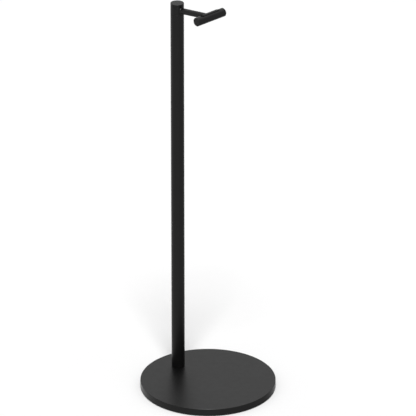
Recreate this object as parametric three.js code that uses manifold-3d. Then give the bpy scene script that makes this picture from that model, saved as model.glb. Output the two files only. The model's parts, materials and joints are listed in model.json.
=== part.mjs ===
// Free-standing toilet paper holder: a heavy round base, a slim post standing off its
// centre, and a short inclined arm that ends in a slotted crossbar. The arm's hub turns
// on a bushed spigot in the top of the post. Millimetres, +Z up, origin at the centre
// of the underside, +X from the post towards the crossbar.

import * as THREE from 'three';
import { mergeVertices } from 'three/addons/utils/BufferGeometryUtils.js';
import Module from 'manifold-3d';

// ---------------------------------------------------------------- driving dimensions

// Fits and clearances
const seatGap = 0.05;          // between flat faces that are pulled together
const pressGap = 0.1;          // radial, round a pressed or screwed-in piece
const boltGap = 0.3;           // radial, round a screw, and between pieces on the inclined arm
const swivelSideGap = 0.08;    // radial, between the spigot and its bush
const swivelEndGap = 0.2;      // between the hub and the bush flange
const cutPast = 1;             // how far a cutting tool runs beyond the face it opens
const weldDistance = 1e-5;     // vertices nearer than this are one vertex

// Base
const baseDiameter = 230;
const baseThickness = 12;
const baseTopBevel = 0.5;
const baseLowerBevel = 0.5;
const padDiameter = 222;
const padThickness = 1;
const padHoleDiameter = 20;    // leaves the base bolt within reach
const postInset = 43;          // post axis from the rim of the base

// Post
const postDiameter = 22.5;
const postWall = 1.5;
const postLength = 650;
const postEdge = 0.25;
const footPlugLength = 30;
const footPlugEdge = 1;
const footPlugSetback = 0.3;   // so that the tube's rim meets the base first

// Base fixing
const boltDiameter = 8;
const boltLength = 20;
const boltHeadDiameter = 13;
const boltHeadHeight = 5;
const screwHeadEdge = 0.35;
const boltSocketWidth = 5;     // across flats
const boltSocketDepth = 2.6;
const boltHoleDepth = 22;      // in the foot plug
const washerDiameter = 16;
const washerThickness = 1.6;
const lockWasherDiameter = 14.8;
const lockWasherThickness = 1.4;
const lockWasherSlit = 1;
const counterboreDiameter = 17.6;
const boltHeadRecess = 0.3;    // bolt head below the plate's underside
const pinDiameter = 3;
const pinOffset = 6.6;         // pin axis from the post axis
const pinDepth = 5;            // into the foot plug

// Swivel
const sleeveLength = 14;
const sleeveWall = 1.8;
const bushWall = 1.3;
const bushFlangeInset = 0.4;   // flange inside the hub's outline
const bushFlangeThickness = 0.6;
const waveWasherThickness = 0.5;
const waveHeight = 0.35;       // each way from the middle
const waveCount = 3;
const waveWasherWidth = 2;
const retainerThickness = 1.6;
const retainerDiameter = 17;
const retainerScrewDiameter = 6;
const retainerScrewLength = 10;
const retainerHeadDiameter = 10.4;
const retainerHeadHeight = 4;
const retainerSocketWidth = 4;
const retainerSocketDepth = 2.2;
const retainerHoleSpare = 2;   // thread left above the screw's tip

// Head hub and cap
const hubHeight = 13;
const hubEdge = 0.35;
const capHeight = 5;
const capEdge = 0.45;
const capSpigotDiameter = 14;
const capSpigotLength = 1.8;
const capSpigotBore = 8;
const capRecessSpare = 0.2;    // recess deeper than the spigot is long
const armSetDiameter = 5;
const armSetLength = 3.2;
const armSetSocketWidth = 2.5;
const armSetSocketDepth = 1.5;

// Arm
const armDiameter = 10.2;
const armIncline = THREE.MathUtils.degToRad(7);
const armReach = 77;           // post axis to crossbar axis, along the arm
const armAxisAboveHubFoot = 5.2;
const armTenonDiameter = 8;    // in the hub
const armTenonPastAxis = 4;
const armEdge = 0.3;
const armNeckDiameter = 5;     // in the crossbar
const armNeckPastAxis = 1.5;
const collarDiameter = 11.4;
const collarProud = 0.3;       // collar's outer face beyond the hub's outline
const collarThickness = 2.4;
const collarChamferWidth = 0.5;
const collarChamferLength = 0.7;

// Crossbar and its strip
const barDiameter = 14.75;
const barLength = 63;
const barChamfer = 0.9;
const slotWidth = 8;
const slotLength = 43;
const slotDepth = 3.85;        // from the crest of the bar
const stripSideGap = 0.6;
const stripLength = 34;
const stripShift = 1.2;        // strip's middle from the slot's, towards +Y
const stripProud = 0.4;        // above the crest of the bar
const stripEdge = 1;
const barSetDiameter = 4;
const barSetSink = 0.6;        // below the bar's surface
const barSetSocketWidth = 2;
const barSetSocketDepth = 1.2;

// Roundness of the facets
const wideSteps = 120;
const roundSteps = 60;
const smallSteps = 30;
const edgeSteps = 3;
const hexagonSides = 6;

// ---------------------------------------------------------------- derived places

const barRadius = barDiameter / 2;
const postRadius = postDiameter / 2;
const postOffset = baseDiameter / 2 - postInset;
const postBore = postDiameter - 2 * postWall;
const plateBottom = padThickness;
const plateTop = plateBottom + baseThickness;
const postFoot = plateTop + seatGap;
const postTop = postFoot + postLength;

const boltStack = boltHeadHeight + lockWasherThickness + washerThickness + 3 * seatGap;
const counterboreDepth = boltStack + boltHeadRecess;
const counterboreTop = plateBottom + counterboreDepth;
const washerBottom = counterboreTop - seatGap - washerThickness;
const lockWasherBottom = washerBottom - seatGap - lockWasherThickness;
const boltHeadTop = lockWasherBottom - seatGap;
const plugDiameter = postBore - 2 * pressGap;
const plugFoot = postFoot + footPlugSetback;

const sleeveDiameter = postBore - 2 * pressGap;
const sleeveBore = sleeveDiameter - 2 * sleeveWall;
const bushDiameter = sleeveBore - 2 * pressGap;
const bushBore = bushDiameter - 2 * bushWall;
const spigotDiameter = bushBore - 2 * swivelSideGap;
const bushFlangeTop = postTop + seatGap + bushFlangeThickness;
const hubFoot = bushFlangeTop + swivelEndGap;
const hubTop = hubFoot + hubHeight;
const capFoot = hubTop + seatGap;
const sleeveFoot = postTop - sleeveLength;
const waveWasherSpace = waveWasherThickness + 2 * waveHeight;
const waveWasherMiddle = sleeveFoot - seatGap - waveWasherSpace / 2;
const retainerTop = sleeveFoot - 2 * seatGap - waveWasherSpace;
const spigotFoot = retainerTop + seatGap;
const retainerHeadTop = retainerTop - retainerThickness - seatGap;
const capRecessDepth = capSpigotLength + capRecessSpare;
const armAxisHeight = hubFoot + armAxisAboveHubFoot;
const tenonRise = (armSetDiameter / 4) * Math.tan(armIncline);
const armSetFoot =
  armAxisHeight + armTenonDiameter / 2 / Math.cos(armIncline) + tenonRise + seatGap;
const collarFace = postRadius + collarProud;
const collarRoot = collarFace - collarThickness;
const armShoulder = collarFace + boltGap;
const slotFloor = barRadius - slotDepth;

// ---------------------------------------------------------------- materials

function finish(color, roughness, metalness) {
  return new THREE.MeshStandardMaterial({ color, roughness, metalness });
}

const satinBlack = finish(0x0c0c0d, 0.34, 0.0);
const rubberBlack = finish(0x161617, 0.75, 0.0);
const padRubber = finish(0x1b1b1b, 0.9, 0.0);
const zincSteel = finish(0xa9acb0, 0.35, 1.0);
const blackSteel = finish(0x2a2b2d, 0.4, 0.9);
const blackNylon = finish(0x1a1a1a, 0.5, 0.0);

// ---------------------------------------------------------------- shape helpers

const wasm = await Module();
wasm.setup();

// Shared vertices only, and no triangle that has closed up on itself.
function toSolid(geometry) {
  const bare = geometry.clone();
  bare.deleteAttribute('normal');
  bare.deleteAttribute('uv');
  const merged = mergeVertices(bare, weldDistance);
  const index = merged.index.array;
  const triangles = [];
  for (let i = 0; i < index.length; i += 3) {
    const [a, b, c] = [index[i], index[i + 1], index[i + 2]];
    if (a !== b && b !== c && c !== a) triangles.push(a, b, c);
  }
  return new wasm.Manifold(new wasm.Mesh({
    numProp: 3,
    vertProperties: new Float32Array(merged.attributes.position.array),
    triVerts: new Uint32Array(triangles),
  }));
}

function toGeometry(solid) {
  const mesh = solid.getMesh();
  const geometry = new THREE.BufferGeometry();
  geometry.setAttribute('position', new THREE.BufferAttribute(mesh.vertProperties, 3));
  geometry.setIndex(new THREE.BufferAttribute(mesh.triVerts, 1));
  geometry.computeVertexNormals();
  return geometry;
}

function cut(body, ...tools) {
  const left = tools.reduce((solid, tool) => solid.subtract(toSolid(tool)), toSolid(body));
  return toGeometry(left);
}

// A turned piece from its outline as [radius, height] pairs, spun about +Z.
function turned(outline, steps = roundSteps) {
  const points = outline.map(([radius, height]) => new THREE.Vector2(radius, height));
  return new THREE.LatheGeometry(points, steps).rotateX(Math.PI / 2);
}

// Points of an outline that rounds a corner; the angles are in quarter turns.
function corner(radius, height, size, from, to) {
  const points = [];
  for (let i = 0; i <= edgeSteps; i++) {
    const angle = (Math.PI / 2) * (from + ((to - from) * i) / edgeSteps);
    points.push([radius + size * Math.cos(angle), height + size * Math.sin(angle)]);
  }
  return points;
}

// A ring with a plain rectangular section; its outline closes on itself.
function ring(outer, inner, bottom, top, steps = roundSteps) {
  const [ro, ri] = [outer / 2, inner / 2];
  return turned([[ri, bottom], [ro, bottom], [ro, top], [ri, top], [ri, bottom]], steps);
}

// A round bar along +Z, used for pins and for the tools that cut round holes.
function rod(diameter, bottom, top, steps = smallSteps) {
  const radius = diameter / 2;
  return turned([[0, bottom], [radius, bottom], [radius, top], [0, top]], steps);
}

// A hexagon socket tool along +Z, by its width across flats.
function hexagon(acrossFlats, bottom, top) {
  return rod(acrossFlats / Math.cos(Math.PI / hexagonSides), bottom, top, hexagonSides);
}

// A socket-head screw with its head below height zero and its shank above.
function headedScrew(diameter, length, headDiameter, headHeight, socketWidth, socketDepth) {
  const [shank, head] = [diameter / 2, headDiameter / 2];
  const blank = turned([
    [0, -headHeight],
    [head - screwHeadEdge, -headHeight],
    [head, screwHeadEdge - headHeight],
    [head, 0],
    [shank, 0],
    [shank, length - shank / 2],
    [shank / 2, length],
    [0, length],
  ], smallSteps);
  return cut(blank, hexagon(socketWidth, -headHeight - cutPast, socketDepth - headHeight));
}

// A headless set screw standing on height zero, its socket at the top.
function setScrew(diameter, length, socketWidth, socketDepth) {
  const radius = diameter / 2;
  const blank = turned([
    [0, 0],
    [radius / 2, 0],
    [radius, radius / 2],
    [radius, length],
    [0, length],
  ], smallSteps);
  return cut(blank, hexagon(socketWidth, length - socketDepth, length + cutPast));
}

// A flat outline with round ends, long in Y.
function stadium(width, length) {
  const radius = width / 2;
  const straight = length / 2 - radius;
  const shape = new THREE.Shape();
  shape.absarc(0, straight, radius, 0, Math.PI, false);
  shape.absarc(0, -straight, radius, Math.PI, 2 * Math.PI, false);
  shape.closePath();
  return shape;
}

// ---------------------------------------------------------------- base pieces

function floorPad() {
  const shape = new THREE.Shape();
  shape.absarc(0, 0, padDiameter / 2, 0, 2 * Math.PI, false);
  const hole = new THREE.Path();
  hole.absarc(-postOffset, 0, padHoleDiameter / 2, 0, 2 * Math.PI, true);
  shape.holes.push(hole);
  return new THREE.ExtrudeGeometry(shape, {
    depth: padThickness,
    bevelEnabled: false,
    curveSegments: roundSteps,
  });
}

function basePlate() {
  const radius = baseDiameter / 2;
  const disc = turned([
    [0, plateBottom],
    [radius - baseLowerBevel, plateBottom],
    [radius, plateBottom + baseLowerBevel],
    ...corner(radius - baseTopBevel, plateTop - baseTopBevel, baseTopBevel, 0, 1),
    [0, plateTop],
  ], wideSteps);
  const counterbore = rod(counterboreDiameter, plateBottom - cutPast, counterboreTop, roundSteps);
  const boltHole = rod(boltDiameter + 2 * boltGap, plateBottom, plateTop + cutPast);
  const pinHole = rod(pinDiameter + 2 * pressGap, plateBottom, plateTop + cutPast);
  return cut(
    disc,
    counterbore.translate(-postOffset, 0, 0),
    boltHole.translate(-postOffset, 0, 0),
    pinHole.translate(pinOffset - postOffset, 0, 0),
  );
}

// A split spring washer, pressed flat.
function lockWasher() {
  const [outer, inner] = [lockWasherDiameter / 2, boltDiameter / 2 + boltGap];
  const [outerSlit, innerSlit] = [lockWasherSlit / 2 / outer, lockWasherSlit / 2 / inner];
  const shape = new THREE.Shape();
  shape.absarc(0, 0, outer, outerSlit, 2 * Math.PI - outerSlit, false);
  shape.absarc(0, 0, inner, 2 * Math.PI - innerSlit, innerSlit, true);
  shape.closePath();
  return new THREE.ExtrudeGeometry(shape, {
    depth: lockWasherThickness,
    bevelEnabled: false,
    curveSegments: smallSteps,
  });
}

function footPlug() {
  const bolt = rod(boltDiameter + 2 * pressGap, -cutPast, boltHoleDepth);
  const pin = rod(pinDiameter + 2 * pressGap, -cutPast, pinDepth + pressGap);
  const radius = plugDiameter / 2;
  const blank = turned([
    [0, 0],
    [radius, 0],
    [radius, footPlugLength - footPlugEdge],
    [radius - footPlugEdge, footPlugLength],
    [0, footPlugLength],
  ]);
  return cut(blank, bolt, pin.translate(pinOffset, 0, 0));
}

function postTube() {
  const [outer, inner] = [postRadius, postBore / 2];
  return turned([
    [inner, 0],
    [outer - postEdge, 0],
    [outer, postEdge],
    [outer, postLength - postEdge],
    [outer - postEdge, postLength],
    [inner, postLength],
    [inner, 0],
  ]);
}

// ---------------------------------------------------------------- swivel pieces

function swivelBush() {
  const [bore, body, flange] = [bushBore / 2, bushDiameter / 2, postRadius - bushFlangeInset];
  const flangeFoot = seatGap;
  return turned([
    [bore, -sleeveLength],
    [body, -sleeveLength],
    [body, flangeFoot],
    [flange, flangeFoot],
    [flange, flangeFoot + bushFlangeThickness],
    [bore, flangeFoot + bushFlangeThickness],
    [bore, -sleeveLength],
  ]);
}

// A wave washer: a thin flat ring whose faces both follow the same wave round it.
function waveWasher() {
  const inner = spigotDiameter + 2 * boltGap;
  const outer = inner + 2 * waveWasherWidth;
  const half = waveWasherThickness / 2;
  const geometry = ring(outer, inner, -half, half);
  const position = geometry.attributes.position;
  for (let i = 0; i < position.count; i++) {
    const angle = Math.atan2(position.getY(i), position.getX(i));
    position.setZ(i, position.getZ(i) + waveHeight * Math.cos(waveCount * angle));
  }
  return geometry;
}

// The hub and its spigot are one turned piece, with the spigot hanging in the bush.
function headHub() {
  const radius = postRadius;
  const spigot = spigotDiameter / 2;
  const foot = hubFoot - armAxisHeight;
  const top = hubTop - armAxisHeight;
  const tip = spigotFoot - armAxisHeight;
  const blank = turned([
    [0, tip],
    [spigot - hubEdge, tip],
    [spigot, tip + hubEdge],
    [spigot, foot],
    [radius - hubEdge, foot],
    [radius, foot + hubEdge],
    [radius, top - hubEdge],
    [radius - hubEdge, top],
    [0, top],
  ]);
  const screwHoleTop = tip + retainerScrewLength - retainerThickness + retainerHoleSpare;
  const screwHole = rod(retainerScrewDiameter + 2 * pressGap, tip - cutPast, screwHoleTop);
  const capRecess = rod(capSpigotDiameter + 2 * pressGap, top - capRecessDepth, top + cutPast);
  const setHole = rod(armSetDiameter + 2 * pressGap, 0, top + cutPast);
  const tenonHole = rod(armTenonDiameter + 2 * boltGap, -armTenonPastAxis - boltGap, postDiameter);
  const collarSeat = rod(collarDiameter + 2 * boltGap, collarRoot - boltGap, postDiameter, roundSteps);
  return cut(
    blank,
    screwHole,
    capRecess,
    setHole,
    alongArm(tenonHole),
    alongArm(collarSeat),
  );
}

function topCap() {
  const radius = postRadius;
  const [spigot, bore] = [capSpigotDiameter / 2, capSpigotBore / 2];
  return turned([
    [0, 0],
    [bore, 0],
    [bore, -capSpigotLength],
    [spigot, -capSpigotLength],
    [spigot, 0],
    [radius - hubEdge, 0],
    [radius, hubEdge],
    ...corner(radius - capEdge, capHeight - capEdge, capEdge, 0, 1),
    [0, capHeight],
  ]);
}

// ---------------------------------------------------------------- arm and crossbar

// Turns a piece made along +Z so that it lies along the inclined arm.
function alongArm(geometry) {
  return geometry.rotateY(Math.PI / 2 - armIncline);
}

function armCollar() {
  const [outer, inner] = [collarDiameter / 2, armTenonDiameter / 2 + boltGap];
  return turned([
    [inner, collarRoot],
    [outer, collarRoot],
    [outer, collarFace - collarChamferLength],
    [outer - collarChamferWidth, collarFace],
    [inner, collarFace],
    [inner, collarRoot],
  ]).rotateY(Math.PI / 2);
}

// The rod has a tenon for the hub at one end and, past a saddle that fits the round
// crossbar, a neck for the crossbar's bore at the other.
function arm() {
  const [radius, tenon, neck] = [armDiameter / 2, armTenonDiameter / 2, armNeckDiameter / 2];
  const rodOutline = turned([
    [0, -armTenonPastAxis],
    [tenon - armEdge, -armTenonPastAxis],
    [tenon, armEdge - armTenonPastAxis],
    [tenon, armShoulder],
    [radius - armEdge, armShoulder],
    [radius, armShoulder + armEdge],
    [radius, armReach],
    [0, armReach],
  ]).rotateY(Math.PI / 2);
  const saddle = rod(barDiameter + 2 * boltGap, -barLength, barLength, roundSteps);
  saddle.rotateX(Math.PI / 2).translate(armReach, 0, 0);
  const neckPin = rod(armNeckDiameter, armShoulder, armReach + armNeckPastAxis);
  neckPin.rotateY(Math.PI / 2);
  const body = toSolid(rodOutline).subtract(toSolid(saddle));
  return toGeometry(body.add(toSolid(neckPin)));
}

function crossbar() {
  const half = barLength / 2;
  const blank = turned([
    [0, -half],
    [barRadius - barChamfer, -half],
    [barRadius, barChamfer - half],
    [barRadius, half - barChamfer],
    [barRadius - barChamfer, half],
    [0, half],
  ]).rotateX(Math.PI / 2);
  const slot = new THREE.ExtrudeGeometry(stadium(slotWidth, slotLength), {
    depth: barDiameter,
    bevelEnabled: false,
    curveSegments: smallSteps / 2,
  }).translate(0, 0, slotFloor);
  const neckHole = rod(armNeckDiameter + 2 * boltGap, -barDiameter, armNeckPastAxis + boltGap);
  const setHole = rod(barSetDiameter + 2 * boltGap, -barDiameter, 0);
  return cut(blank, slot, neckHole.rotateY(Math.PI / 2), setHole);
}

function gripStrip() {
  const width = slotWidth - 2 * stripSideGap;
  const height = slotDepth - boltGap + stripProud;
  const shape = stadium(width - 2 * stripEdge, stripLength - 2 * stripEdge);
  const geometry = new THREE.ExtrudeGeometry(shape, {
    depth: height - 2 * stripEdge,
    bevelThickness: stripEdge,
    bevelSize: stripEdge,
    bevelSegments: edgeSteps,
    curveSegments: smallSteps / 2,
  });
  return geometry.translate(0, 0, slotFloor + boltGap + stripEdge);
}

// ---------------------------------------------------------------- assembly

function place(parent, name, geometry, material, x = 0, y = 0, z = 0) {
  const mesh = new THREE.Mesh(geometry, material);
  mesh.name = name;
  mesh.position.set(x, y, z);
  parent.add(mesh);
  return mesh;
}

const holder = new THREE.Group();
place(holder, 'floor_pad', floorPad(), padRubber);
place(holder, 'base_plate', basePlate(), satinBlack);

// Everything that stands on the post's own axis
const column = new THREE.Group();
column.position.x = -postOffset;
holder.add(column);

const washerBore = boltDiameter + 2 * boltGap;
const baseWasher = ring(washerDiameter, washerBore, 0, washerThickness, smallSteps);
place(column, 'base_washer', baseWasher, zincSteel, 0, 0, washerBottom);
place(column, 'base_lock_washer', lockWasher(), zincSteel, 0, 0, lockWasherBottom);
const baseBolt = headedScrew(
  boltDiameter, boltLength, boltHeadDiameter, boltHeadHeight, boltSocketWidth, boltSocketDepth);
place(column, 'base_bolt', baseBolt, blackSteel, 0, 0, boltHeadTop);
const pinTop = plugFoot + pinDepth;
place(column, 'locating_pin', rod(pinDiameter, counterboreTop, pinTop), zincSteel, pinOffset);
place(column, 'foot_plug', footPlug(), zincSteel, 0, 0, plugFoot);
place(column, 'post_tube', postTube(), satinBlack, 0, 0, postFoot);
place(column, 'swivel_sleeve', ring(sleeveDiameter, sleeveBore, 0, sleeveLength), zincSteel,
  0, 0, sleeveFoot);
place(column, 'swivel_bush', swivelBush(), blackNylon, 0, 0, postTop);
place(column, 'wave_washer', waveWasher(), zincSteel, 0, 0, waveWasherMiddle);

// The head, which turns about the post's axis
const head = new THREE.Group();
column.add(head);

const retainerBore = retainerScrewDiameter + 2 * boltGap;
const retainer = ring(retainerDiameter, retainerBore, 0, retainerThickness, smallSteps);
place(head, 'retaining_washer', retainer, zincSteel, 0, 0, retainerTop - retainerThickness);
const retainerScrew = headedScrew(
  retainerScrewDiameter, retainerScrewLength, retainerHeadDiameter, retainerHeadHeight,
  retainerSocketWidth, retainerSocketDepth);
place(head, 'retaining_screw', retainerScrew, blackSteel, 0, 0, retainerHeadTop);
place(head, 'head_hub', headHub(), satinBlack, 0, 0, armAxisHeight);
const armSet = setScrew(armSetDiameter, armSetLength, armSetSocketWidth, armSetSocketDepth);
place(head, 'arm_set_screw', armSet, blackSteel, 0, 0, armSetFoot);
place(head, 'top_cap', topCap(), satinBlack, 0, 0, capFoot);

// The inclined arm, with its own X along the arm
const armLine = new THREE.Group();
armLine.position.z = armAxisHeight;
armLine.rotation.y = -armIncline;
head.add(armLine);
place(armLine, 'arm_collar', armCollar(), satinBlack);
place(armLine, 'arm', arm(), satinBlack);
place(armLine, 'crossbar', crossbar(), satinBlack, armReach);
place(armLine, 'grip_strip', gripStrip(), rubberBlack, armReach, stripShift);
const barSetLength = barRadius - barSetSink - armNeckDiameter / 2 - boltGap;
const barSet = setScrew(barSetDiameter, barSetLength, barSetSocketWidth, barSetSocketDepth);
barSet.rotateX(Math.PI);
place(armLine, 'bar_set_screw', barSet, blackSteel, armReach, 0, -armNeckDiameter / 2 - boltGap);

export default holder;
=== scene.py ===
"""Free-standing toilet paper holder in satin black: the finished surfaces.

A heavy round base on a rubber sheet, a slim tube post, a head that turns on a bush,
and an inclined arm that carries a slotted crossbar with a rubber strip.
"""
import json
import math

import bmesh
import bpy
from mathutils import Matrix, Vector


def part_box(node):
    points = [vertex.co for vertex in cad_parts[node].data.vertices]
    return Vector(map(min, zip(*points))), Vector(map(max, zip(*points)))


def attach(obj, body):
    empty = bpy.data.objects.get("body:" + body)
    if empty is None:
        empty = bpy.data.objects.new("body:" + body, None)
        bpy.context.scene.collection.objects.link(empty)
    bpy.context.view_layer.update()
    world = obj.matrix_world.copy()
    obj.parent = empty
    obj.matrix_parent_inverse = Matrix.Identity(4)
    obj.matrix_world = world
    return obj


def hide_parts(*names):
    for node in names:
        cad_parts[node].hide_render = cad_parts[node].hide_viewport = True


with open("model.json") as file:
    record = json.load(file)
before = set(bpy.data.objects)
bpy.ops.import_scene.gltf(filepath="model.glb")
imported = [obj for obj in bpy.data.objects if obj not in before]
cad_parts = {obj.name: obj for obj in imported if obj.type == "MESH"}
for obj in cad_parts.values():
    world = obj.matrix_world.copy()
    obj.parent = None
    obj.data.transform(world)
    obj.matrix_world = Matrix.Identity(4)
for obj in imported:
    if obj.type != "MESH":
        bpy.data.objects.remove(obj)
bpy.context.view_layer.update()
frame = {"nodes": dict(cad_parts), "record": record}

MM = 0.001
FULL_TURN = 2 * math.pi
QUARTER_TURN = math.pi / 2

# How round things are drawn
WIDE_STEPS = 256      # facets round the base
ROUND_STEPS = 128     # facets round the post, the arm and the crossbar
SMALL_STEPS = 64      # facets round holes and screws
EDGE_STEPS = 6        # facets across a rounded edge
SOFT_STEPS = 3        # facets across an edge that is only broken
HOLD = 0.12 * MM      # a flat face keeps its own shading up to this far from its edge
SHARP = math.radians(32)
SAME_PLACE = 1e-7     # points closer than this are one, in metres
SLIVER = 1e-8         # an edge shorter than this is dropped, in metres

# Edges and fits that the pieces share
EDGE = 0.35 * MM
CAP_EDGE = 0.45 * MM
CUT_PAST = 1 * MM     # how far a cutter goes past the face that it opens
ARM_INCLINE = math.radians(7)


# ---------------------------------------------------------------- shaping

def arc(x, z, size, start, end):
    """Points of a rounded corner in an outline; the angles are in quarter turns."""
    points = []
    for i in range(EDGE_STEPS + 1):
        angle = QUARTER_TURN * (start + (end - start) * i / EDGE_STEPS)
        points.append((x + size * math.cos(angle), z + size * math.sin(angle)))
    return points


def chamfer(x, z, size, blunt):
    """Points of a 45 degree chamfer on the outer corner at (x, z), its two edges blunted."""
    reach = blunt * math.tan(QUARTER_TURN / 4)
    return [
        (x, z - size - reach - HOLD),
        *arc(x - blunt, z - size - reach, blunt, 0, 0.5),
        *arc(x - size - reach, z - blunt, blunt, 0.5, 1),
        (x - size - reach - HOLD, z),
    ]


def turned(outline, steps=ROUND_STEPS):
    """A body turned about Z from its outline, a list of (radius, height)."""
    bm = bmesh.new()
    verts = [bm.verts.new((radius, 0, height)) for radius, height in outline]
    edges = [bm.edges.new(pair) for pair in zip(verts, verts[1:])]
    if outline[0][0] > 0:
        edges.append(bm.edges.new((verts[-1], verts[0])))
    bmesh.ops.spin(bm, geom=verts + edges, cent=(0, 0, 0), axis=(0, 0, 1),
                   angle=FULL_TURN, steps=steps, use_merge=True)
    return tidied(bm)


def tidied(bm):
    """Merges what meets, and turns every face outwards."""
    bmesh.ops.remove_doubles(bm, verts=bm.verts, dist=SAME_PLACE)
    bmesh.ops.dissolve_degenerate(bm, edges=bm.edges, dist=SLIVER)
    bmesh.ops.recalc_face_normals(bm, faces=bm.faces)
    return bm


def rod(radius, bottom, top, steps=SMALL_STEPS):
    """A plain round bar along Z."""
    return turned([(0, bottom), (radius, bottom), (radius, top), (0, top)], steps)


def stadium(width, length, bottom, top, steps=SMALL_STEPS):
    """An upright block with round ends, long in Y."""
    bm = bmesh.new()
    bmesh.ops.create_circle(bm, cap_ends=True, radius=width / 2, segments=steps)
    bmesh.ops.bisect_plane(bm, geom=bm.verts[:] + bm.edges[:] + bm.faces[:],
                           plane_co=(0, 0, 0), plane_no=(0, 1, 0))
    shift = (length - width) / 2
    middle = [v for v in bm.verts if abs(v.co.y) < SAME_PLACE]
    for vert in bm.verts:
        if vert not in middle:
            vert.co.y += math.copysign(shift, vert.co.y)
    bmesh.ops.translate(bm, verts=bm.verts, vec=(0, 0, bottom))
    grown = bmesh.ops.extrude_face_region(bm, geom=bm.faces[:])
    raised = [g for g in grown["geom"] if isinstance(g, bmesh.types.BMVert)]
    bmesh.ops.translate(bm, verts=raised, vec=(0, 0, top - bottom))
    return tidied(bm)


def moved(bm, matrix):
    """The same body after a turn or a shift."""
    bmesh.ops.transform(bm, matrix=matrix, verts=bm.verts)
    return bm


def carved(body, *tools):
    """The body with each tool cut out of it."""
    work = loose_object("work", body)
    cutters = [loose_object("cutter", tool) for tool in tools]
    for cutter in cutters:
        cut = work.modifiers.new("cut", "BOOLEAN")
        cut.operation = "DIFFERENCE"
        cut.solver = "EXACT"
        cut.object = cutter
    ready = work.evaluated_get(bpy.context.evaluated_depsgraph_get())
    result = bmesh.new()
    result.from_mesh(ready.to_mesh())
    ready.to_mesh_clear()
    for spare in [work, *cutters]:
        mesh = spare.data
        bpy.data.objects.remove(spare)
        bpy.data.meshes.remove(mesh)
    return tidied(result)


def loose_object(name, bm):
    """A scene object that holds a body, as a finished piece or to cut with."""
    mesh = bpy.data.meshes.new(name)
    bm.to_mesh(mesh)
    bm.free()
    made = bpy.data.objects.new(name, mesh)
    bpy.context.scene.collection.objects.link(made)
    return made


def piece(name, bm, finish, body, node):
    """A finished piece that stands for its node and moves with its body."""
    for face in bm.faces:
        face.smooth = True
    for edge in bm.edges:
        edge.smooth = edge.calc_face_angle(0) < SHARP
    made = loose_object(name, bm)
    made.data.materials.append(finish)
    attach(made, body)
    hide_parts(node)
    return made


def softened(made, width):
    """Rounds the piece's sharp edges a little, so that they catch the light."""
    bevel = made.modifiers.new("edges", "BEVEL")
    bevel.width = width
    bevel.segments = SOFT_STEPS
    bevel.limit_method = "ANGLE"
    bevel.angle_limit = SHARP
    bevel.harden_normals = True
    return made


# ---------------------------------------------------------------- finishes

SPREAD_FROM = (0.3, 0.7)      # the part of the noise that a socket's range is laid over
TINT_FROM = (0.35, 0.65)      # the part of it that the two shades lie between


def node_material(name, colour, roughness, ior):
    """A plain finish to build on, with its shader and its object coordinates."""
    made = bpy.data.materials.new(name)
    made.use_nodes = True
    shader = made.node_tree.nodes["Principled BSDF"]
    shader.inputs["Base Color"].default_value = (*colour, 1)
    shader.inputs["Roughness"].default_value = roughness
    shader.inputs["IOR"].default_value = ior
    place = made.node_tree.nodes.new("ShaderNodeTexCoord")
    return made, shader, place


def grain(made, place, scale, detail=2.0):
    """Noise on the piece's own coordinates; scale is in grains per metre."""
    noise = made.node_tree.nodes.new("ShaderNodeTexNoise")
    noise.inputs["Scale"].default_value = scale
    noise.inputs["Detail"].default_value = detail
    made.node_tree.links.new(place.outputs["Object"], noise.inputs["Vector"])
    return noise


def spread(made, noise, low, high, socket):
    """Drives a socket from the noise, between two values."""
    ramp = made.node_tree.nodes.new("ShaderNodeMapRange")
    ramp.inputs["From Min"].default_value, ramp.inputs["From Max"].default_value = SPREAD_FROM
    ramp.inputs["To Min"].default_value = low
    ramp.inputs["To Max"].default_value = high
    made.node_tree.links.new(noise.outputs["Fac"], ramp.inputs["Value"])
    made.node_tree.links.new(ramp.outputs["Result"], socket)


def tint(made, noise, low, high, shader):
    """Mixes the colour between two shades by the noise."""
    ramp = made.node_tree.nodes.new("ShaderNodeValToRGB")
    for mark, position, shade in zip(ramp.color_ramp.elements, TINT_FROM, (low, high)):
        mark.position = position
        mark.color = (*shade, 1)
    made.node_tree.links.new(noise.outputs["Fac"], ramp.inputs["Fac"])
    made.node_tree.links.new(ramp.outputs["Color"], shader.inputs["Base Color"])


def relief(made, noise, height, shader):
    """A fine relief from the noise; height is in metres."""
    bump = made.node_tree.nodes.new("ShaderNodeBump")
    bump.inputs["Strength"].default_value = 1.0
    bump.inputs["Distance"].default_value = height
    made.node_tree.links.new(noise.outputs["Fac"], bump.inputs["Height"])
    made.node_tree.links.new(bump.outputs["Normal"], shader.inputs["Normal"])


def satin_black_coat():
    """Fine powder coat: nearly no colour of its own, with a soft sheen and a faint peel."""
    made, shader, place = node_material("satin_black", (0.001, 0.001, 0.001), 0.36, 1.34)
    tint(made, grain(made, place, 40), (0.0006,) * 3, (0.0014,) * 3, shader)
    spread(made, grain(made, place, 90), 0.34, 0.39, shader.inputs["Roughness"])
    relief(made, grain(made, place, 900, 3), 0.006 * MM, shader)
    return made


def strip_rubber():
    """Moulded rubber, duller than the coat round it."""
    made, shader, place = node_material("strip_rubber", (0.004, 0.004, 0.004), 0.6, 1.3)
    tint(made, grain(made, place, 300), (0.003,) * 3, (0.006,) * 3, shader)
    spread(made, grain(made, place, 500), 0.55, 0.7, shader.inputs["Roughness"])
    relief(made, grain(made, place, 2500, 3), 0.02 * MM, shader)
    return made


def pad_rubber():
    """Sheet rubber with a fine pebbled face."""
    made, shader, place = node_material("pad_rubber", (0.03, 0.03, 0.03), 0.85, 1.4)
    tint(made, grain(made, place, 120), (0.022,) * 3, (0.038,) * 3, shader)
    spread(made, grain(made, place, 300), 0.8, 0.95, shader.inputs["Roughness"])
    relief(made, grain(made, place, 1200, 2), 0.08 * MM, shader)
    return made


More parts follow.
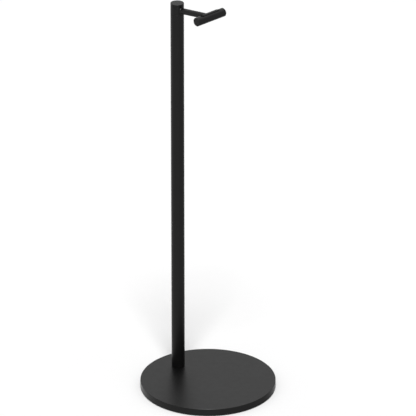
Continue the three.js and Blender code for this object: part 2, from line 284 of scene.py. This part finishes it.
def bright_zinc():
    """Zinc plate on turned steel."""
    made, shader, place = node_material("bright_zinc", (0.6, 0.61, 0.63), 0.32, 1.5)
    shader.inputs["Metallic"].default_value = 1.0
    tint(made, grain(made, place, 250), (0.54, 0.55, 0.57), (0.64, 0.65, 0.66), shader)
    spread(made, grain(made, place, 700), 0.26, 0.4, shader.inputs["Roughness"])
    return made


def black_oxide():
    """Blackened screw steel."""
    made, shader, place = node_material("black_oxide", (0.05, 0.05, 0.055), 0.4, 1.5)
    shader.inputs["Metallic"].default_value = 1.0
    tint(made, grain(made, place, 400), (0.035, 0.035, 0.04), (0.065, 0.065, 0.07), shader)
    spread(made, grain(made, place, 900), 0.34, 0.5, shader.inputs["Roughness"])
    return made


def black_nylon():
    """Moulded bush material."""
    made, shader, place = node_material("black_nylon", (0.012, 0.012, 0.012), 0.5, 1.45)
    tint(made, grain(made, place, 300), (0.009,) * 3, (0.015,) * 3, shader)
    spread(made, grain(made, place, 600), 0.45, 0.58, shader.inputs["Roughness"])
    return made


FINISHES = {
    "satin_black": satin_black_coat(),
    "strip_rubber": strip_rubber(),
    "pad_rubber": pad_rubber(),
    "zinc_steel": bright_zinc(),
    "black_steel": black_oxide(),
    "bush_nylon": black_nylon(),
}
SLOT_OF = {part["node"]: part["material_slot"] for part in frame["record"]["subparts"]}
BODY_OF = {}
for body, nodes in frame["record"]["behaviour"]["bodies"].items():
    for node in nodes:
        BODY_OF[node] = body


def stands_for(node, bm):
    """A finished piece with the finish for the node's slot, moving with the node's body."""
    slot = SLOT_OF[node]
    return piece("fine_" + node, bm, FINISHES[slot], BODY_OF[node], node)


def repaint_kept_nodes():
    """The screws and washers that keep their own shape get their finish."""
    for name, made in frame["nodes"].items():
        made.data.materials.clear()
        made.data.materials.append(FINISHES[SLOT_OF[name]])


# ---------------------------------------------------------------- places

post_low, post_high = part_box("post_tube")
post_axis = (post_low + post_high) / 2
post_radius = (post_high.x - post_low.x) / 2
bar_low, bar_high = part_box("crossbar")
bar_centre = (bar_low + bar_high) / 2
bar_radius = (bar_high.x - bar_low.x) / 2
ON_POST = Matrix.Translation((post_axis.x, post_axis.y, 0))
ON_ARM = Matrix.Translation(bar_centre) @ Matrix.Rotation(-ARM_INCLINE, 4, "Y")
ALONG_X = Matrix.Rotation(QUARTER_TURN, 4, "Y")
ALONG_Y = Matrix.Rotation(-QUARTER_TURN, 4, "X")
ARM_REACH = (bar_centre.x - post_axis.x) / math.cos(ARM_INCLINE)


# ---------------------------------------------------------------- base

def base_plate():
    """A solid disc with a chamfered rim, counterbored under the post for its bolt.

    The holes past the washer, which nothing shows, are left out.
    """
    low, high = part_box("base_plate")
    radius = (high.x - low.x) / 2
    rim, blunt, lower = 0.28 * MM, 0.12 * MM, 0.5 * MM
    disc = turned([
        (0, low.z),
        (radius - lower - HOLD, low.z),
        *arc(radius - lower, low.z + lower, lower, -1, 0),
        (radius, low.z + lower + HOLD),
        *chamfer(radius, high.z, rim, blunt),
        (0, high.z),
    ], WIDE_STEPS)
    recess, seat_gap, soft_edge = 8.8 * MM, 0.05 * MM, 0.2 * MM
    recess_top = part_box("base_washer")[1].z + seat_gap
    counterbore = moved(rod(recess, low.z - CUT_PAST, recess_top), ON_POST)
    made = stands_for("base_plate", carved(disc, counterbore))
    return softened(made, soft_edge)


def floor_pad():
    """The rubber sheet under the base, with a hole that leaves the bolt in reach."""
    low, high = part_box("floor_pad")
    radius = (high.x - low.x) / 2
    edge, hole_radius = 0.3 * MM, 10 * MM
    sheet = turned([
        (0, low.z),
        (radius - edge - HOLD, low.z),
        *arc(radius - edge, low.z + edge, edge, -1, 0),
        (radius, high.z),
        (0, high.z),
    ], WIDE_STEPS)
    hole = moved(rod(hole_radius, low.z - CUT_PAST, high.z + CUT_PAST), ON_POST)
    return stands_for("floor_pad", carved(sheet, hole))


# ---------------------------------------------------------------- post and head

def post_tube():
    """The tube, with its two rims just broken."""
    wall, edge = 1.5 * MM, 0.25 * MM
    low, high = post_low.z, post_high.z
    tube = turned([
        (post_radius - wall, low),
        *arc(post_radius - edge, low + edge, edge, -1, 0),
        (post_radius, low + edge + HOLD),
        (post_radius, high - edge - HOLD),
        *arc(post_radius - edge, high - edge, edge, 0, 1),
        (post_radius - wall, high),
    ])
    return stands_for("post_tube", moved(tube, ON_POST))


def swivel_bush():
    """The flanged bush; its flange shows as a thin line between tube and hub."""
    low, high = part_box("swivel_bush")
    flange, body, bore = (high.x - low.x) / 2, 7.75 * MM, 6.45 * MM
    thickness, edge = 0.6 * MM, 0.15 * MM
    bush = turned([
        (bore, low.z),
        (body, low.z),
        (body, high.z - thickness),
        (flange, high.z - thickness),
        *arc(flange - edge, high.z - edge, edge, 0, 1),
        (bore, high.z),
    ])
    return stands_for("swivel_bush", moved(bush, ON_POST))


def head_hub():
    """The turning head and its spigot, spot-faced for the collar on the arm's line.

    The bores hidden in it, for the tenon and two screws, are left out.
    """
    low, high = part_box("head_hub")
    spigot, height, soft_edge = 6.37 * MM, 13.0 * MM, 0.12 * MM
    foot = high.z - height
    recess, depth = 7.1 * MM, 2.0 * MM
    blank = turned([
        (0, low.z),
        (spigot - EDGE, low.z),
        *arc(spigot - EDGE, low.z + EDGE, EDGE, -1, 0),
        (spigot, foot),
        (post_radius - EDGE, foot),
        *arc(post_radius - EDGE, foot + EDGE, EDGE, -1, 0),
        (post_radius, foot + EDGE + HOLD),
        (post_radius, high.z - EDGE - HOLD),
        *arc(post_radius - EDGE, high.z - EDGE, EDGE, 0, 1),
        (recess, high.z),
        (recess, high.z - depth),
        (0, high.z - depth),
    ])
    hub = moved(blank, ON_POST)
    seat_radius, seat_start, seat_end = 6.0 * MM, 9.05 * MM - ARM_REACH, 20 * MM - ARM_REACH
    seat = moved(rod(seat_radius, seat_start, seat_end), ON_ARM @ ALONG_X)
    made = stands_for("head_hub", carved(hub, seat))
    return softened(made, soft_edge)


def top_cap():
    """The flat cap, with a crisp rim and a short spigot that fits the hub."""
    low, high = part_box("top_cap")
    spigot, bore, step = 7.0 * MM, 4.0 * MM, 1.8 * MM
    foot = low.z + step
    cap = turned([
        (0, foot),
        (bore, foot),
        (bore, low.z),
        (spigot, low.z),
        (spigot, foot),
        (post_radius - EDGE, foot),
        *arc(post_radius - EDGE, foot + EDGE, EDGE, -1, 0),
        (post_radius, foot + EDGE + HOLD),
        (post_radius, high.z - CAP_EDGE - HOLD),
        *arc(post_radius - CAP_EDGE, high.z - CAP_EDGE, CAP_EDGE, 0, 1),
        (post_radius - CAP_EDGE - HOLD, high.z),
        (0, high.z),
    ])
    return stands_for("top_cap", moved(cap, ON_POST))


# ---------------------------------------------------------------- arm and crossbar

def arm_collar():
    """The small collar at the arm's root, with a long chamfer round its outer edge."""
    outer, inner = 5.9 * MM, 4.3 * MM
    root, face = 9.15 * MM - ARM_REACH, 12.35 * MM - ARM_REACH
    chamfer_width, chamfer_length, soft_edge = 1.0 * MM, 1.2 * MM, 0.35 * MM
    collar = turned([
        (inner, root),
        (outer, root),
        (outer, face - chamfer_length),
        (outer - chamfer_width, face),
        (inner, face),
    ])
    made = stands_for("arm_collar", moved(collar, ON_ARM @ ALONG_X))
    return softened(made, soft_edge)


def arm():
    """A straight rod whose end is hollowed to fit the round crossbar.

    Its neck, which the crossbar hides, is left out.
    """
    radius, tenon = 5.1 * MM, 4.0 * MM
    saddle_gap, saddle_half = 0.1 * MM, 30 * MM
    tip, shoulder = -4 * MM - ARM_REACH, 12.4 * MM - ARM_REACH
    blank = turned([
        (0, tip),
        (tenon - EDGE, tip),
        *arc(tenon - EDGE, tip + EDGE, EDGE, -1, 0),
        (tenon, shoulder),
        (radius - EDGE, shoulder),
        *arc(radius - EDGE, shoulder + EDGE, EDGE, -1, 0),
        (radius, shoulder + EDGE + HOLD),
        (radius, 0),
        (0, 0),
    ])
    round_tool = rod(bar_radius + saddle_gap, -saddle_half, saddle_half, ROUND_STEPS)
    saddle = moved(round_tool, ALONG_Y)
    ready = carved(moved(blank, ALONG_X), saddle)
    return stands_for("arm", moved(ready, ON_ARM))


def crossbar():
    """The round bar: chamfered ends, and a slot with round ends milled along the top.

    The bore for the arm's neck, which the arm hides, is left out.
    """
    half, bevel = (bar_high.y - bar_low.y) / 2, 0.9 * MM
    blank = turned([
        (0, -half),
        (bar_radius - bevel, -half),
        (bar_radius, bevel - half),
        (bar_radius, half - bevel),
        (bar_radius - bevel, half),
        (0, half),
    ])
    slot_width, slot_length, slot_depth = 8 * MM, 43 * MM, 3.85 * MM
    floor = bar_radius - slot_depth
    slot = stadium(slot_width, slot_length, floor, 2 * bar_radius)
    screw_radius, screw_hole_top = 2.3 * MM, -2.5 * MM
    screw_hole = rod(screw_radius, -2 * bar_radius, screw_hole_top)
    ready = carved(moved(blank, ALONG_Y), slot, screw_hole)
    slot_edge, other_edge = 0.7 * MM, 0.18 * MM
    weight = ready.edges.layers.float.new("bevel_weight_edge")
    for edge in ready.edges:
        if edge.calc_face_angle(0) > SHARP:
            edge[weight] = other_edge / slot_edge
            if all(on_slot_rim(vert.co, slot_width, slot_length) for vert in edge.verts):
                edge[weight] = 1
    made = softened(stands_for("crossbar", moved(ready, ON_ARM)), slot_edge)
    made.modifiers["edges"].limit_method = "WEIGHT"
    return made


def on_slot_rim(point, width, length):
    """Whether a point lies on the bar's round side and on the outline of the slot."""
    slack = 0.02 * MM
    inside = abs(point.x) < width / 2 + slack and abs(point.y) < length / 2 + slack
    return inside and math.hypot(point.x, point.z) > bar_radius - slack and point.z > 0


def grip_strip():
    """The moulded strip in the slot, its top edges well rounded."""
    width, length, edge = 6.8 * MM, 36.6 * MM, 1 * MM
    shift = 2.5 * MM        # from the slot's middle
    sunk, proud = 3.55 * MM, 0.4 * MM
    floor, top = bar_radius - sunk, bar_radius + proud
    block = stadium(width, length, floor, top)
    rim = [e for e in block.edges
           if all(abs(v.co.z - top) < SAME_PLACE for v in e.verts) and len(e.link_faces) == 2]
    bmesh.ops.bevel(block, geom=rim, offset=edge, offset_type="OFFSET", segments=EDGE_STEPS,
                    profile=0.5, affect="EDGES", clamp_overlap=True, material=-1)
    along = Matrix.Translation((0, shift, 0))
    return stands_for("grip_strip", moved(tidied(block), ON_ARM @ along))


repaint_kept_nodes()
base_plate()
floor_pad()
post_tube()
swivel_bush()
head_hub()
top_cap()
arm_collar()
arm()
crossbar()
grip_strip()


# ---------------------------------------------------------------- studio

BACKDROP_LEVEL = 1.0  # the white that is seen behind the object
SKY_LEVEL = 0.46      # the sky's own light on the object
KEY_LEVEL = 2.2       # the lamp's
CEILING_GLOW = 1.18   # what the top of the room adds to the shine
FLOOR_RADIUS, FLOOR_SIDES, FLOOR_GAP = 30, 96, 0.02 * MM
CAMERA_SIDE = math.radians(45)
# Between two heights in the room, a share or a level goes from its low to its high value
WALL_TO_TOP = (-0.6, 0.6, 0, 0.8)
CEILING_FALL = (0.33, 0.45, 0.98, 0.62)
GLOW_RISE = (0.5, 0.8, 0, CEILING_GLOW)
WALL_START = 135      # the bearing, in degrees from the camera, at which the walls start
ROOM_WALLS = [        # bearing round the room from the camera, to the right, and its level
    (-135, 0.81), (-126, 0.72), (-116, 0.67), (-94, 0.73), (-60, 0.80), (-28, 0.88), (5, 0.95),
    (22, 0.88), (39, 0.77), (58, 0.69), (77, 0.58), (99, 0.42), (120, 0.33), (135, 0.36),
    (150, 0.67), (160, 0.84), (180, 0.95), (200, 0.98), (212, 0.95), (225, 0.81),
]


def studio_floor():
    """A wide pale floor, just clear of the rubber sheet that stands on it."""
    bm = bmesh.new()
    bmesh.ops.create_circle(bm, cap_ends=True, radius=FLOOR_RADIUS, segments=FLOOR_SIDES)
    clear = Matrix.Translation((0, 0, -FLOOR_GAP))
    made = loose_object("studio_floor", moved(bm, clear))
    finish, shader, place = node_material("pale_floor", (0.93, 0.93, 0.93), 0.9, 1.1)
    tint(finish, grain(finish, place, 3), (0.925,) * 3, (0.935,) * 3, shader)
    made.data.materials.append(finish)
    made.visible_glossy = False


def mixed(tree, share, first, second):
    """A number between two others, each a plain value or the output of a node."""
    mix = tree.nodes.new("ShaderNodeMix")
    for socket, value in zip(mix.inputs[:4], (share, None, first, second)):
        if isinstance(value, bpy.types.NodeSocket):
            tree.links.new(value, socket)
        elif value is not None:
            socket.default_value = value
    return mix.outputs[0]


def combined(tree, operation, first, second):
    """One number from two, by a named operation such as ADD or MAXIMUM."""
    node = tree.nodes.new("ShaderNodeMath")
    node.operation = operation
    tree.links.new(first, node.inputs[0])
    tree.links.new(second, node.inputs[1])
    return node.outputs[0]


def rise(tree, height, start, end, low, high):
    """A level that goes from low to high between two heights."""
    node = tree.nodes.new("ShaderNodeMapRange")
    for name, value in (("From Min", start), ("From Max", end), ("To Min", low), ("To Max", high)):
        node.inputs[name].default_value = value
    tree.links.new(height, node.inputs["Value"])
    return node.outputs["Result"]


def white_room(tree):
    """What shines in the coat: white all round, low down greyer towards one side."""
    way = tree.nodes.new("ShaderNodeTexCoord").outputs["Generated"]
    round_about = tree.nodes.new("ShaderNodeTexGradient")
    round_about.gradient_type = "RADIAL"
    tree.links.new(way, round_about.inputs["Vector"])
    walls = tree.nodes.new("ShaderNodeValToRGB")
    tree.links.new(round_about.outputs["Fac"], walls.inputs["Fac"])
    marks = walls.color_ramp.elements
    while len(marks) > 1:
        marks.remove(marks[-1])
    for number, (bearing, level) in enumerate(ROOM_WALLS):
        place = (bearing + WALL_START) / 360
        mark = marks[0] if number == 0 else marks.new(place)
        mark.position = place
        mark.color = (level, level, level, 1)
    split = tree.nodes.new("ShaderNodeSeparateXYZ")
    tree.links.new(way, split.inputs[0])
    height = split.outputs["Z"]
    share = rise(tree, height, *WALL_TO_TOP)
    ceiling = rise(tree, height, *CEILING_FALL)
    glow = rise(tree, height, *GLOW_RISE)
    above = combined(tree, "ADD", ceiling, glow)
    return mixed(tree, share, walls.outputs["Color"], above)


def studio_sky():
    """White behind the object, a white room in its shine, and a softer level on it."""
    sky = bpy.data.worlds.new("studio_sky")
    bpy.context.scene.world = sky
    sky.use_nodes = True
    tree = sky.node_tree
    path = tree.nodes.new("ShaderNodeLightPath").outputs
    shine = path["Is Glossy Ray"]
    seen = combined(tree, "MAXIMUM", path["Is Camera Ray"], path["Is Transmission Ray"])
    seen = combined(tree, "MAXIMUM", seen, shine)
    shown = mixed(tree, shine, BACKDROP_LEVEL, white_room(tree))
    light = tree.nodes["Background"]
    light.inputs["Color"].default_value = (1, 1, 1, 1)
    tree.links.new(mixed(tree, seen, SKY_LEVEL, shown), light.inputs["Strength"])


def way_out(elevation):
    """The direction from the object to a height over the camera's side."""
    return Vector((math.sin(CAMERA_SIDE) * math.cos(elevation),
                   -math.cos(CAMERA_SIDE) * math.cos(elevation),
                   math.sin(elevation)))


def key_light():
    """A broad soft lamp high over the camera's side."""
    elevation, breadth, distance = math.radians(64), math.radians(17), 3
    towards = way_out(elevation)
    data = bpy.data.lights.new("key_light", "SUN")
    data.angle = breadth
    data.energy = KEY_LEVEL
    made = bpy.data.objects.new("key_light", data)
    made.rotation_euler = (-towards).to_track_quat("-Z", "Y").to_euler()
    made.location = towards * distance
    bpy.context.scene.collection.objects.link(made)


def studio_camera():
    """A long lens from the post's side of the base, looking a little down."""
    elevation, distance = math.radians(24.607), 7.9135
    lens, sensor, far_end = 409.4, 36, 100
    aim = Vector((0, 0, 0.3324))
    back = way_out(elevation)
    data = bpy.data.cameras.new("studio_camera")
    data.lens = lens
    data.sensor_width = sensor
    data.clip_end = far_end
    made = bpy.data.objects.new("studio_camera", data)
    made.location = aim + back * distance
    made.rotation_euler = (-back).to_track_quat("-Z", "Y").to_euler()
    bpy.context.scene.collection.objects.link(made)
    bpy.context.scene.camera = made


studio_floor()
studio_sky()
key_light()
studio_camera()
bpy.context.scene.view_settings.view_transform = "Standard"
